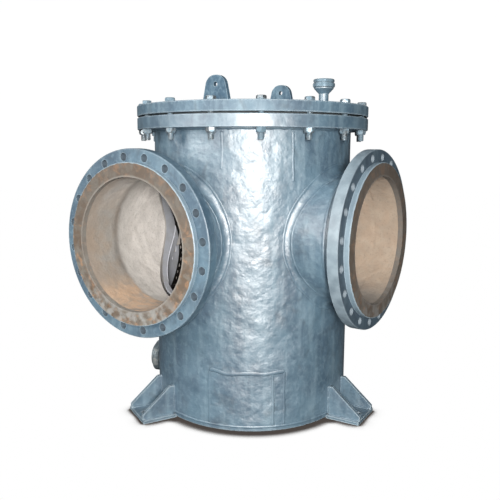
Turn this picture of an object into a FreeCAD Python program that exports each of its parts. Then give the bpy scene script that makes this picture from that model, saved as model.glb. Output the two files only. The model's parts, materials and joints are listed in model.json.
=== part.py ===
import FreeCAD, Part
import os
from math import cos, radians, sin
from FreeCAD import Placement, Rotation, Vector
from Sketcher import Constraint

# Simplex can (basket) strainer, angle pattern, DN450 nozzles.
# Millimetres. Z is up, the origin is on the shell axis at floor level,
# the outlet points along +X and the inlet along -Y.

DIMENSIONS = [
    ("shell_radius", 365, "outside radius of the rolled shell"),
    ("shell_wall", 10, "shell plate thickness"),
    ("floor_gap", 4, "floor to underside of the bottom plate"),
    ("bottom_thickness", 16, "bottom plate"),
    ("shell_top", 1066, "top edge of the shell, inside the body flange"),
    ("nozzle_height", 658, "floor to both nozzle axes"),
    ("neck_radius", 228.5, "outside radius of both necks"),
    ("neck_bore", 218.5, "bore radius of both necks"),
    ("inlet_seam", 398, "shell axis to the seam between inlet branch and neck"),
    ("outlet_seam", 415, "shell axis to the seam between outlet branch and neck"),
    ("branch_step", 3, "a branch's bore is this much wider than its neck's"),
    ("inlet_offset", 110, "inlet axis to shell axis, towards -X"),
    ("inlet_reach", 538, "shell axis to the front of the inlet flange"),
    ("outlet_reach", 503, "shell axis to the front of the outlet flange"),
    ("root_radius", 28, "blend where a neck leaves the shell"),
    ("ring_radius", 307.5, "outside radius of a nozzle flange"),
    ("ring_thickness", 38, "nozzle flange"),
    ("ring_circle", 282.5, "bolt circle radius of a nozzle flange"),
    ("ring_hole", 13, "bolt hole radius of a nozzle flange"),
    ("ring_holes", 20, "bolt holes in a nozzle flange"),
    ("ring_turn", 2.4, "hole pattern turned from straddling, degrees"),
    ("facing_radius", 265, "outside radius of the raised facing ring"),
    ("facing_thickness", 18, "facing ring stands out this far"),
    ("edge_break", 2, "chamfer on turned edges"),
    ("cover_radius", 426, "outside radius of cover and body flange"),
    ("body_flange_bottom", 1032, "floor to underside of the body flange"),
    ("body_flange_thickness", 42, "body flange"),
    ("gasket_thickness", 6, "cover gasket"),
    ("gasket_inner", 368, "inside radius of the cover gasket"),
    ("gasket_outer", 392, "outside radius of the cover gasket"),
    ("cover_thickness", 36, "cover plate"),
    ("bolt_circle", 406.5, "cover bolt circle radius"),
    ("bolt_count", 16, "cover bolts"),
    ("bolt_phase", 14, "angle of the first cover bolt from +X, degrees"),
    ("bolt_radius", 10, "M20 thread, outside radius"),
    ("bolt_hole", 11, "clearance hole radius for a cover bolt"),
    ("hex_flats", 30, "across flats of heads and nuts"),
    ("head_height", 12.5, "bolt head"),
    ("nut_height", 16, "nut"),
    ("nut_clearance", 0.06, "radial play of a thread in its nut"),
    ("bolt_end", 22, "thread end below the nut"),
    ("lug_distance", 203, "lug plate to shell axis"),
    ("front_lug_shift", -18, "front lug's middle to shell axis, along +X"),
    ("rear_lug_shift", 6, "rear lug's middle to shell axis, along +X"),
    ("lug_width", 116, "lug at the cover"),
    ("lug_top_width", 72, "lug between its upper corners, before rounding"),
    ("lug_height", 101, "lug"),
    ("lug_thickness", 16, "lug plate"),
    ("lug_corner", 39, "upper corners of a lug"),
    ("lug_eye", 8, "eye radius"),
    ("lug_eye_height", 70, "cover to the middle of the eye"),
    ("vent_distance", 293, "vent axis to shell axis, along +X"),
    ("vent_pipe", 17, "outside radius of the vent pipe"),
    ("vent_bore", 12, "bore radius of the vent pipe"),
    ("vent_cone_low", 38, "cover to where the vent pipe starts to widen"),
    ("vent_cone_high", 56, "cover to where the vent pipe has widened"),
    ("vent_shoulder", 34, "radius of the shoulder under the vent cap"),
    ("vent_shoulder_height", 59, "cover to the top of the shoulder"),
    ("vent_rise", 75, "cover to the top of the vent socket"),
    ("vent_socket", 27, "outside radius of the vent socket"),
    ("vent_skirt", 39, "radius of the vent cap's round skirt"),
    ("vent_skirt_height", 17, "height of the vent cap's round skirt"),
    ("vent_crown", 38, "corner radius of the vent cap's eight sides"),
    ("vent_cap_height", 28, "vent cap"),
    ("vent_cap_lap", 15, "vent cap reaches this far down the socket"),
    ("cap_clearance", 0.4, "radial play of a cap on its neck"),
    ("drain_height", 113, "floor to the drain axis"),
    ("drain_angle", 196, "drain direction from +X, degrees"),
    ("drain_reach", 400, "shell axis to the end of the drain stub"),
    ("drain_pipe", 38, "outside radius of the drain stub"),
    ("drain_bore", 32, "bore radius of the drain stub"),
    ("drain_cap_radius", 62, "drain cap"),
    ("drain_cap_lap", 14, "drain cap reaches this far back over the stub"),
    ("drain_cap_back", 8, "rim of the drain cap, behind and before the stub's end"),
    ("drain_cap_front", 11, "front of the drain cap's rim"),
    ("drain_cap_face", 20, "front of the drain cap's raised middle"),
    ("drain_cap_shoulder", 14, "width of the step round the raised middle"),
    ("drain_cap_break", 6, "bevels of the drain cap's rim"),
    ("seal_thickness", 3, "flat seals under the vent and drain caps"),
    ("foot_turn", 2.5, "feet turned from the outlet's direction, degrees"),
    ("foot_reach", 482, "shell axis to the outer edge of a foot"),
    ("foot_width", 150, "foot plate"),
    ("foot_plate", 12, "foot plate thickness"),
    ("foot_hole", 11, "anchor hole radius"),
    ("foot_circle", 452, "shell axis to an anchor hole"),
    ("gusset_height", 118, "floor to the top of a gusset"),
    ("gusset_thickness", 12, "gusset plate"),
    ("gusset_spacing", 118, "between the middles of a foot's gussets"),
    ("gusset_land", 11, "level top edge of a gusset beside the shell"),
    ("gusset_nose", 16, "upright end of a gusset above the foot plate"),
    ("gusset_root", 20, "a gusset is cut this long before its end is trimmed round"),
    ("basket_radius", 330, "outside radius of the basket screen"),
    ("basket_sheet", 3, "screen sheet"),
    ("basket_floor", 60, "floor to underside of the basket"),
    ("basket_plate", 6, "basket bottom plate"),
    ("basket_top", 1052, "floor to the top of the basket's rim ring"),
    ("basket_rim", 12, "rim ring thickness"),
    ("basket_rim_radius", 350, "outside radius of the rim ring"),
    ("basket_entry", 210, "radius of the basket's side opening"),
    ("collar_wall", 10, "collar around the side opening"),
    ("collar_radius", 346, "collar runs out to this radius"),
    ("handle_radius", 8, "handle bar"),
    ("handle_rise", 14, "rim ring to the handle bar's axis"),
    ("handle_reach", 334, "shell axis to a handle post"),
    ("rest_wall", 12, "wall of the ring the basket stands on"),
    ("rest_radius", 322, "outside radius of the ring the basket stands on"),
]

doc = FreeCAD.newDocument("can_strainer")
sheet = doc.addObject("Spreadsheet::Sheet", "dims")
VALUE = {}
for row, (alias, value, note) in enumerate(DIMENSIONS, start=1):
    sheet.set("A%d" % row, note)
    sheet.set("B%d" % row, str(value))
    sheet.setAlias("B%d" % row, alias)
    VALUE[alias] = value
doc.recompute()

Z_AXIS = Vector(0, 0, 1)
UPRIGHT = Rotation()
TO_INLET = Rotation(Vector(1, 0, 0), 90)            # Z -> -Y, Y -> up
TO_OUTLET = Rotation(Vector(1, 1, 1), 120)          # Z -> +X, Y -> up
NODES = []


def formula(text):
    """Prefix every dimension name in a formula with the sheet's name."""
    words, word = [], ""
    for char in text + " ":
        if char.isalnum() or char in "_.":
            word += char
            continue
        words.append("dims." + word if word in VALUE else word)
        words.append(char)
        word = ""
    return "".join(words).strip()


def bind(item, **formulas):
    """Bind properties; a double underscore stands for a dot."""
    for name, text in formulas.items():
        item.setExpression(name.replace("__", "."), formula(text))
    return item


def place(item, x="0", y="0", z="0", turn=UPRIGHT):
    item.Placement = Placement(Vector(), turn)
    return bind(item, Placement__Base__x="(%s) * 1 mm" % x,
                Placement__Base__y="(%s) * 1 mm" % y,
                Placement__Base__z="(%s) * 1 mm" % z)


def cylinder(name, radius, height, x="0", y="0", z="0", turn=UPRIGHT):
    item = doc.addObject("Part::Cylinder", name)
    bind(item, Radius=radius, Height=height)
    return place(item, x, y, z, turn)


def cone(name, low, high, height, x="0", y="0", z="0", turn=UPRIGHT):
    item = doc.addObject("Part::Cone", name)
    bind(item, Radius1=low, Radius2=high, Height=height)
    return place(item, x, y, z, turn)


def box(name, length, width, height, x="0", y="0", z="0", turn=UPRIGHT):
    item = doc.addObject("Part::Box", name)
    bind(item, Length=length, Width=width, Height=height)
    return place(item, x, y, z, turn)


def hexagon(name, height, x="0", y="0", z="0"):
    item = doc.addObject("Part::Prism", name)
    item.Polygon = 6
    bind(item, Circumradius="hex_flats / sqrt(3)", Height=height)
    return place(item, x, y, z)


def fuse(name, *items):
    item = doc.addObject("Part::MultiFuse", name)
    item.Shapes = list(items)
    item.Refine = True
    return item


def cut(name, base, *tools):
    item = doc.addObject("Part::Cut", name)
    item.Base = base
    item.Tool = tools[0] if len(tools) == 1 else fuse(name + "_tools", *tools)
    return item


def common(name, *items):
    item = doc.addObject("Part::MultiCommon", name)
    item.Shapes = list(items)
    return item


def tube(name, outer, inner, height, x="0", y="0", z="0", turn=UPRIGHT):
    return cut(name, cylinder(name + "_outside", outer, height, x, y, z, turn),
               cylinder(name + "_inside", inner, height, x, y, z, turn))


def node(item, label):
    item.Label = label
    NODES.append(item)
    return item


def compound(name, items):
    item = doc.addObject("Part::Compound", name)
    item.Links = items
    return item


def ring_of(name, pattern, count, first_angle):
    """Copies of one piece, evenly spaced about the shell axis."""
    copies = []
    for index in range(count):
        copy = doc.addObject("App::Link", "%s_%02d" % (name, index))
        copy.LinkedObject = pattern
        copy.LinkTransform = True
        copy.Placement = Placement(
            Vector(), Rotation(Z_AXIS, first_angle + index * 360.0 / count))
        copies.append(copy)
    return compound(name, copies)


# ---- sketches ------------------------------------------------------------

def pin_point(sketch, index, position, x, y):
    """Bind one sketch point to two formulas, measured from the origin."""
    for axis, text in (("x", x), ("y", y)):
        if text == "0":
            edge = -2 if axis == "x" else -1
            sketch.addConstraint(
                Constraint("PointOnObject", index, position, edge))
            continue
        negative = text.startswith("-")
        ends = (index, position, -1, 1) if negative else (-1, 1, index, position)
        kind = "DistanceX" if axis == "x" else "DistanceY"
        number = sketch.addConstraint(Constraint(kind, *ends, 10.0))
        sketch.setExpression("Constraints[%d]" % number,
                             formula(text.lstrip("-")))


def body_sketch(body, name, plane):
    sketch = body.newObject("Sketcher::SketchObject", name)
    origin_plane = [item for item in body.Origin.OriginFeatures
                    if item.Role == plane][0]
    sketch.AttachmentSupport = [(origin_plane, "")]
    sketch.MapMode = "FlatFace"
    doc.recompute()
    return sketch


def outline(sketch, corners):
    """Closed outline through corners; each corner is a pair of formulas."""
    count = len(corners)
    for index in range(count):
        start, end = corners[index], corners[(index + 1) % count]
        ends = [Vector(measure(x), measure(y), 0) for x, y in (start, end)]
        sketch.addGeometry(Part.LineSegment(*ends), False)
    for index in range(count):
        sketch.addConstraint(
            Constraint("Coincident", index, 2, (index + 1) % count, 1))
    for index, (x, y) in enumerate(corners):
        pin_point(sketch, index, 1, x, y)


def measure(text):
    """Value of a formula of dimension names, for a first sketch position."""
    total, sign, word = 0.0, 1.0, ""
    for char in text.replace(" ", "") + "+":
        if char not in "+-":
            word += char
            continue
        if word:
            term = 1.0
            for factor in word.split("*"):
                top, _, bottom = factor.partition("/")
                part = VALUE[top] if top in VALUE else float(top)
                term *= part / float(bottom) if bottom else part
            total += sign * term
        sign, word = (-1.0 if char == "-" else 1.0), ""
    return total


def turned(name, corners):
    """Body turned about its own Z axis from a radius and height outline."""
    body = doc.addObject("PartDesign::Body", name)
    sketch = body_sketch(body, name + "_profile", "XZ_Plane")
    outline(sketch, corners)
    doc.recompute()
    turn = body.newObject("PartDesign::Revolution", name + "_turning")
    turn.Profile = sketch
    turn.ReferenceAxis = (sketch, ["V_Axis"])
    turn.Angle = 360
    doc.recompute()
    body.Tip = turn
    return body


def drill_circle(body, radius, circle, count, angle):
    """Through holes on a bolt circle about the body's own Z axis."""
    name = body.Name
    sketch = body_sketch(body, name + "_hole", "XY_Plane")
    first = Vector(VALUE[circle], 0, 0)
    sketch.addGeometry(Part.Circle(first, Z_AXIS, VALUE[radius]), False)
    number = sketch.addConstraint(Constraint("Radius", 0, VALUE[radius]))
    sketch.setExpression("Constraints[%d]" % number, formula(radius))
    sketch.addConstraint(Constraint("PointOnObject", 0, 3, -1))
    number = sketch.addConstraint(Constraint("DistanceX", -1, 1, 0, 3, 10.0))
    sketch.setExpression("Constraints[%d]" % number, formula(circle))
    bind(sketch, AttachmentOffset__Rotation__Angle=angle + " * 1 deg")
    doc.recompute()
    before = body.Shape.Volume
    pocket = body.newObject("PartDesign::Pocket", name + "_drilling")
    pocket.Profile = sketch
    pocket.Type = "ThroughAll"
    doc.recompute()
    if body.Shape.Volume > before - 1:
        pocket.Reversed = True
        doc.recompute()
    pattern = body.newObject("PartDesign::PolarPattern", name + "_circle")
    pattern.Originals = [pocket]
    pattern.Axis = (sketch, ["N_Axis"])
    pattern.Angle = 360
    bind(pattern, Occurrences=count)
    body.Tip = pattern
    doc.recompute()
    return body


def ring_corners(inner, outer, low, high):
    """Ring section with its two outer edges broken."""
    trimmed = outer + " - edge_break"
    lower = "edge_break" if low == "0" else low + " + edge_break"
    return [(inner, low), (trimmed, low), (outer, lower),
            (outer, high + " - edge_break"), (trimmed, high), (inner, high)]


# ---- shell, bottom and feet ----------------------------------------------

def make_shell():
    low = "(floor_gap + bottom_thickness)"
    outside = cylinder("shell_outside", "shell_radius", "shell_top - " + low, z=low)
    inlet = cylinder("inlet_branch", "neck_radius", "inlet_seam",
                     x="-inlet_offset", z="nozzle_height", turn=TO_INLET)
    outlet = cylinder("outlet_branch", "neck_radius", "outlet_seam",
                      z="nozzle_height", turn=TO_OUTLET)
    solid = fuse("shell_solid", outside, inlet, outlet)
    doc.recompute()
    blended = doc.addObject("Part::Fillet", "shell_blended")
    blended.Base = solid
    blended.Edges = [(number, VALUE["root_radius"], VALUE["root_radius"])
                     for number in root_edges(solid.Shape)]
    doc.recompute()
    chamber = cylinder("shell_chamber", "shell_radius - shell_wall", "shell_top", z="0")
    inlet_bore = cylinder("inlet_branch_bore", "neck_bore + branch_step",
                          "inlet_seam", x="-inlet_offset", z="nozzle_height",
                          turn=TO_INLET)
    outlet_bore = cylinder("outlet_branch_bore", "neck_bore + branch_step",
                           "outlet_seam", z="nozzle_height", turn=TO_OUTLET)
    drain = cylinder("drain_opening", "drain_pipe", "drain_reach", z="drain_height",
                     turn=drain_turn())
    node(cut("shell", blended, chamber, inlet_bore, outlet_bore, drain), "body_shell")


def make_necks():
    node(tube("inlet_pipe", "neck_radius", "neck_bore", "inlet_reach - inlet_seam",
              x="-inlet_offset", y="-inlet_seam", z="nozzle_height", turn=TO_INLET),
         "inlet_neck")
    node(tube("outlet_pipe", "neck_radius", "neck_bore",
              "outlet_reach - outlet_seam", x="outlet_seam", z="nozzle_height",
              turn=TO_OUTLET), "outlet_neck")


def root_edges(shape):
    """Numbers of the edges where a neck meets the outside of the shell."""
    found = []
    for number, edge in enumerate(shape.Edges, start=1):
        points = edge.discretize(5)
        on_shell = all(abs(Vector(p.x, p.y, 0).Length - VALUE["shell_radius"]) < 0.1
                       for p in points)
        at_nozzle = all(
            abs(p.z - VALUE["nozzle_height"]) < VALUE["neck_radius"] + 1
            for p in points)
        level = max(p.z for p in points) - min(p.z for p in points) < 1
        if on_shell and at_nozzle and not level:
            found.append(number)
    return found


def drain_turn():
    """Rotation that lays Z along the drain."""
    return Rotation(Z_AXIS, VALUE["drain_angle"]) * Rotation(Vector(0, 1, 0), 90)


def make_bottom():
    plate = turned("bottom", [
        ("0", "floor_gap"), ("shell_radius - edge_break", "floor_gap"),
        ("shell_radius", "floor_gap + edge_break"),
        ("shell_radius", "floor_gap + bottom_thickness"),
        ("0", "floor_gap + bottom_thickness")])
    node(plate, "bottom_plate")


def make_feet():
    for place_name, angle in (("right", 0), ("rear", 120), ("left", 240)):
        turn = Rotation(Z_AXIS, VALUE["foot_turn"] + angle)
        pad = box(place_name + "_pad", "foot_reach", "foot_width", "foot_plate",
                  y="-foot_width / 2")
        hole = cylinder(place_name + "_anchor", "foot_hole", "foot_plate",
                        x="foot_circle")
        core = cylinder(place_name + "_pad_core", "shell_radius", "foot_plate")
        foot = cut(place_name + "_foot", pad, hole, core)
        foot.Placement = Placement(Vector(), turn)
        node(foot, place_name + "_foot_plate")
        pair = compound(place_name + "_gussets",
                        [gusset(place_name, side, turn) for side in (-1, 1)])
        node(pair, place_name + "_foot_gussets")


def gusset(place_name, side, turn):
    """Upright web of a foot: level beside the shell, then sloping down."""
    name = "%s_gusset_%s" % (place_name, "low" if side < 0 else "high")
    body = doc.addObject("PartDesign::Body", name)
    sketch = body_sketch(body, name + "_profile", "XZ_Plane")
    top_x = "shell_radius + gusset_land"
    root_x = "shell_radius - gusset_root"
    corners = [(root_x, "foot_plate"), ("foot_reach", "foot_plate"),
               ("foot_reach", "foot_plate + gusset_nose"),
               (top_x, "gusset_height"), (root_x, "gusset_height")]
    outline(sketch, corners)
    doc.recompute()
    pad = body.newObject("PartDesign::Pad", name + "_plate")
    pad.Profile = sketch
    bind(pad, Length="gusset_thickness")
    body.Tip = pad
    place(body, y=("-" if side < 0 else "") + "gusset_spacing / 2 + gusset_thickness / 2")
    doc.recompute()
    core = cylinder(name + "_core", "shell_radius", "gusset_height")
    trimmed = cut(name + "_trimmed", body, core)
    trimmed.Placement = Placement(Vector(), turn)
    return trimmed


# ---- flanges --------------------------------------------------------------

def make_nozzle_flange(side, turn, x, y, angle):
    """Plate flange on a neck, with the facing ring that stands out from it."""
    flange = turned(side + "_ring", ring_corners(
        "neck_radius", "ring_radius", "0", "ring_thickness"))
    drill_circle(flange, "ring_hole", "ring_circle", "ring_holes", angle)
    place(flange, x[0], y[0], "nozzle_height", turn)
    node(flange, side + "_flange")
    facing = turned(side + "_facing_ring", [
        ("neck_bore", "0"), ("facing_radius", "0"),
        ("facing_radius", "facing_thickness - edge_break"),
        ("facing_radius - edge_break", "facing_thickness"),
        ("neck_bore", "facing_thickness")])
    place(facing, x[1], y[1], "nozzle_height", turn)
    node(facing, side + "_facing")


def make_nozzle_flanges():
    half_pitch = "(180 / ring_holes + ring_turn)"
    make_nozzle_flange(
        "inlet", TO_INLET, ("-inlet_offset", "-inlet_offset"),
        ("-(inlet_reach - ring_thickness)", "-inlet_reach"), "(90 - %s)" % half_pitch)
    make_nozzle_flange(
        "outlet", TO_OUTLET, ("(outlet_reach - ring_thickness)", "outlet_reach"),
        ("0", "0"), "(90 + %s)" % half_pitch)


def make_body_flange():
    top = "body_flange_bottom + body_flange_thickness"
    flange = turned("top_ring", ring_corners(
        "shell_radius", "cover_radius", "body_flange_bottom", top))
    drill_circle(flange, "bolt_hole", "bolt_circle", "bolt_count", "bolt_phase")
    node(flange, "body_flange")
    node(tube("joint_ring", "gasket_outer", "gasket_inner", "gasket_thickness",
              z="(%s)" % top), "cover_gasket")


# ---- cover ----------------------------------------------------------------

HEX_CONE_WIDE = "0.72"          # radii of the cone that turns off a hexagon's
HEX_CONE_NARROW = "0.48"        # corners, as shares of its width across flats
COVER_BOTTOM = "(body_flange_bottom + body_flange_thickness + gasket_thickness)"
COVER_TOP = ("(body_flange_bottom + body_flange_thickness + gasket_thickness"
             " + cover_thickness)")


def make_cover():
    low = COVER_BOTTOM.strip("()")
    high = COVER_TOP.strip("()")
    disc = turned("cover_disc", [
        ("0", low), ("cover_radius - edge_break", low),
        ("cover_radius", low + " + edge_break"),
        ("cover_radius", high + " - edge_break"),
        ("cover_radius - edge_break", high), ("0", high)])
    drill_circle(disc, "bolt_hole", "bolt_circle", "bolt_count", "bolt_phase")
    vent_hole = cylinder("vent_hole", "vent_pipe", "cover_thickness",
                         x="vent_distance", z=COVER_BOTTOM)
    node(cut("cover", disc, vent_hole), "cover_plate")


def rounded_hex(name, height, z, dome_up):
    """Hexagon with the corners of its outer face turned off."""
    blank = hexagon(name + "_hex", height, x="bolt_circle", z=z)
    low, high = "hex_flats * " + HEX_CONE_WIDE, "hex_flats * " + HEX_CONE_NARROW
    if not dome_up:
        low, high = high, low
    turned_off = cone(name + "_cone", low, high, height, x="bolt_circle", z=z)
    return common(name, blank, turned_off)


def make_bolts():
    nut_low = "(body_flange_bottom - nut_height)"
    shank_low = "(body_flange_bottom - nut_height - bolt_end)"
    point = "bolt_radius / 5"
    head = rounded_hex("bolt_head", "head_height", COVER_TOP, True)
    shank = cylinder("bolt_shank", "bolt_radius",
                     "%s - %s - %s" % (COVER_TOP, shank_low, point),
                     x="bolt_circle", z="(%s + %s)" % (shank_low, point))
    tip = cone("bolt_tip", "bolt_radius - " + point, "bolt_radius", point,
               x="bolt_circle", z=shank_low)
    bolt = fuse("bolt", head, shank, tip)
    nut = cut("nut", rounded_hex("nut_blank", "nut_height", nut_low, False),
              cylinder("nut_bore", "bolt_radius + nut_clearance", "nut_height",
                       x="bolt_circle", z=nut_low))
    phase, count = VALUE["bolt_phase"], VALUE["bolt_count"]
    node(ring_of("bolts", bolt, count, phase), "cover_bolts")
    node(ring_of("nuts", nut, count, phase), "cover_nuts")


def make_lug(place_name, side):
    """Lifting eye plate: tapered, with a round top."""
    body = doc.addObject("PartDesign::Body", place_name + "_lug_plate")
    name = body.Name
    sketch = body_sketch(body, name + "_profile", "XZ_Plane")
    outline(sketch, [("-lug_width / 2", "0"), ("lug_width / 2", "0"),
                     ("lug_top_width / 2", "lug_height"),
                     ("-lug_top_width / 2", "lug_height")])
    doc.recompute()
    pad = body.newObject("PartDesign::Pad", name + "_pad")
    pad.Profile = sketch
    bind(pad, Length="lug_thickness")
    doc.recompute()
    upper = ["Edge%d" % number for number, edge in enumerate(pad.Shape.Edges, 1)
             if all(vertex.Z > VALUE["lug_height"] - 1 for vertex in edge.Vertexes)
             and abs(edge.Vertexes[0].X - edge.Vertexes[1].X) < 0.1]
    rounding = body.newObject("PartDesign::Fillet", name + "_corners")
    rounding.Base = (pad, upper)
    bind(rounding, Radius="lug_corner")
    body.Tip = rounding
    sign = "" if side > 0 else "-"
    shift = place_name + "_lug_shift"
    place(body, x=shift, y="(%slug_distance + lug_thickness / 2)" % sign, z=COVER_TOP)
    doc.recompute()
    eye = cylinder(name + "_eye", "lug_eye", "lug_thickness * 2",
                   x=shift, y="(%slug_distance + lug_thickness)" % sign,
                   z="(%s + lug_eye_height)" % COVER_TOP, turn=TO_INLET)
    node(cut(place_name + "_lug_cut", body, eye), place_name + "_lifting_lug")


def make_vent():
    """Pipe through the cover, widening to a shoulder and socket, closed by a cap."""
    pipe_top = "cover_thickness + vent_cone_low"
    cone_top = "cover_thickness + vent_cone_high"
    shoulder_top = "cover_thickness + vent_shoulder_height"
    socket_top = "cover_thickness + vent_rise"
    neck = turned("vent_pipe_turned", [
        ("vent_bore", "0"), ("vent_pipe", "0"), ("vent_pipe", pipe_top),
        ("vent_shoulder", cone_top), ("vent_shoulder", shoulder_top),
        ("vent_socket", shoulder_top), ("vent_socket", socket_top),
        ("vent_bore", socket_top)])
    place(neck, x="vent_distance", z=COVER_BOTTOM)
    node(neck, "vent_neck")
    seal_low = "(%s + vent_rise)" % COVER_TOP
    node(tube("vent_washer", "vent_socket", "vent_bore", "seal_thickness",
              x="vent_distance", z=seal_low), "vent_seal")
    cap_low = "(%s + vent_rise - vent_cap_lap)" % COVER_TOP
    skirt = cylinder("vent_cap_skirt", "vent_skirt", "vent_skirt_height",
                     x="vent_distance", z=cap_low)
    crown = doc.addObject("Part::Prism", "vent_cap_crown")
    crown.Polygon = 8
    bind(crown, Circumradius="vent_crown", Height="vent_cap_height")
    place(crown, x="vent_distance", z=cap_low)
    hollow = cylinder("vent_cap_hollow", "vent_socket + cap_clearance",
                      "vent_cap_lap + seal_thickness", x="vent_distance", z=cap_low)
    node(cut("vent_closure", fuse("vent_cap_solid", skirt, crown), hollow), "vent_cap")


# ---- drain ----------------------------------------------------------------

def make_drain():
    """Stub low on the shell, closed by a stepped round cap."""
    turn = drain_turn()
    angle = radians(VALUE["drain_angle"])
    stub = tube("drain_stub", "drain_pipe", "drain_bore", "drain_reach",
                z="drain_height", turn=turn)
    core = cylinder("drain_core", "shell_radius - shell_wall", "shell_top")
    node(cut("drain_stub_trimmed", stub, core), "drain_neck")

    def along(item, distance):
        item.Placement = Placement(
            Vector(cos(angle), sin(angle), 0) * distance
            + Vector(0, 0, VALUE["drain_height"]), turn)
        return item

    reach = VALUE["drain_reach"]
    washer = along(turned("drain_washer", [
        ("drain_bore", "0"), ("drain_pipe", "0"), ("drain_pipe", "seal_thickness"),
        ("drain_bore", "seal_thickness")]), reach)
    node(washer, "drain_seal")
    hollow, step = "drain_pipe + cap_clearance", "drain_cap_radius - drain_cap_shoulder"
    cap = along(turned("drain_closure", [
        ("0", "seal_thickness"), (hollow, "seal_thickness"),
        (hollow, "-drain_cap_lap"), ("drain_cap_radius - drain_cap_break", "-drain_cap_lap"),
        ("drain_cap_radius", "-drain_cap_back"), ("drain_cap_radius", "drain_cap_back"),
        ("drain_cap_radius - drain_cap_break", "drain_cap_front"),
        (step, "drain_cap_front"), (step, "drain_cap_face - edge_break"),
        (step + " - drain_cap_break", "drain_cap_face"), ("0", "drain_cap_face")]), reach)
    node(cap, "drain_cap")


# ---- basket ---------------------------------------------------------------

def make_basket():
    screen_low = "(basket_floor + basket_plate)"
    screen_top = "(basket_top - basket_rim)"
    wall = tube("screen_wall", "basket_radius", "basket_radius - basket_sheet",
                "%s - %s" % (screen_top, screen_low), z=screen_low)
    entry = cylinder("screen_entry", "basket_entry", "shell_radius",
                     x="-inlet_offset", z="nozzle_height", turn=TO_INLET)
    node(cut("screen", wall, entry), "basket_screen")
    node(cylinder("screen_floor", "basket_radius", "basket_plate", z="basket_floor"),
         "basket_bottom")
    node(tube("screen_rim", "basket_rim_radius", "basket_radius - basket_rim",
              "basket_rim", z=screen_top), "basket_rim_ring")
    sleeve = tube("collar_sleeve", "basket_entry + collar_wall", "basket_entry",
                  "shell_radius", x="-inlet_offset", z="nozzle_height", turn=TO_INLET)
    band = tube("collar_band", "collar_radius", "basket_radius", "shell_top")
    node(common("collar", sleeve, band), "basket_collar")
    bar = cylinder("handle_bar", "handle_radius", "handle_reach * 2",
                   x="-handle_reach", z="(basket_top + handle_rise)", turn=TO_OUTLET)
    posts = [cylinder("handle_post_" + end, "handle_radius", "handle_rise",
                      x=sign + "handle_reach", z="basket_top")
             for end, sign in (("left", "-"), ("right", ""))]
    node(fuse("handle", bar, *posts), "basket_handle")
    node(tube("rest", "rest_radius", "rest_radius - rest_wall",
              "basket_floor - floor_gap - bottom_thickness",
              z="(floor_gap + bottom_thickness)"), "basket_rest")


def check_and_export():
    doc.recompute()
    for item in doc.Objects:
        if "Invalid" in item.State or "Error" in item.State:
            raise RuntimeError("%s is not valid: %s" % (item.Name, item.State))
    os.makedirs("parts", exist_ok=True)
    for item in NODES:
        shape = item.Shape
        if shape.isNull() or not shape.isValid() or not shape.Solids:
            raise RuntimeError("%s has no valid solid" % item.Label)
        shape.exportStep("parts/%s.step" % item.Label)


make_shell()
make_necks()
make_bottom()
make_feet()
make_nozzle_flanges()
make_body_flange()
make_cover()
make_bolts()
make_lug("front", -1)
make_lug("rear", 1)
make_vent()
make_drain()
make_basket()
check_and_export()
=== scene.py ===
import json
import math

import bmesh
import bpy
from mathutils import Matrix, Vector, noise


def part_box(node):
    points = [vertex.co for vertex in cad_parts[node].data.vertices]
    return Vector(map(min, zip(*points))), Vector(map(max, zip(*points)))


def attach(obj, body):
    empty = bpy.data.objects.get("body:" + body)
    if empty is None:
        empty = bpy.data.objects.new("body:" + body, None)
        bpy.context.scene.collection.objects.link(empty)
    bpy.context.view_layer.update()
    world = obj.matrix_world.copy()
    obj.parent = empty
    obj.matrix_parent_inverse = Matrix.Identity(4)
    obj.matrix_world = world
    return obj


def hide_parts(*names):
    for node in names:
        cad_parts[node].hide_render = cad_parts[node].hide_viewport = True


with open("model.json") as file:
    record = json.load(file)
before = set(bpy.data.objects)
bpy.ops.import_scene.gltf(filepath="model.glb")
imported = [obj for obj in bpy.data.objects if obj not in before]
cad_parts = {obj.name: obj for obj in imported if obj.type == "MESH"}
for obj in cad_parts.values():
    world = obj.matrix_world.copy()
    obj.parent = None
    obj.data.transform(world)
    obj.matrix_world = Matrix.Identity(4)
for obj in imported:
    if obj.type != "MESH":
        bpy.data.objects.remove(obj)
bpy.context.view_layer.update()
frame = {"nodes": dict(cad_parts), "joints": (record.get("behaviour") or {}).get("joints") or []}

# Basket strainer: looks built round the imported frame. Metres, +Z up, outlet along +X, inlet along -Y.


def middle(node):
    low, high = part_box(node)
    return (low + high) / 2


# ---- places read from the frame --------------------------------------------

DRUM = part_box("bottom_plate")[1].x
DRUM_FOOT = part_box("bottom_plate")[1].z
FLANGE_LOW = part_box("body_flange")[0].z
COVER_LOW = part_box("cover_plate")[0].z
COVER_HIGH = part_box("cover_plate")[1].z
NOZZLE_Z = middle("inlet_flange").z
INLET_X = middle("inlet_flange").x
NECK = (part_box("inlet_neck")[1].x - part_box("inlet_neck")[0].x) / 2
FACING_EDGE = (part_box("inlet_facing")[1].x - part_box("inlet_facing")[0].x) / 2
INLET_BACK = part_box("inlet_flange")[1].y
INLET_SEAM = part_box("inlet_neck")[1].y
OUTLET_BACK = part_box("outlet_flange")[0].x
OUTLET_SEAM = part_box("outlet_neck")[0].x
VENT_X = middle("vent_neck").x


# ---- sizes that boxes don't show -------------------------------------------

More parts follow.
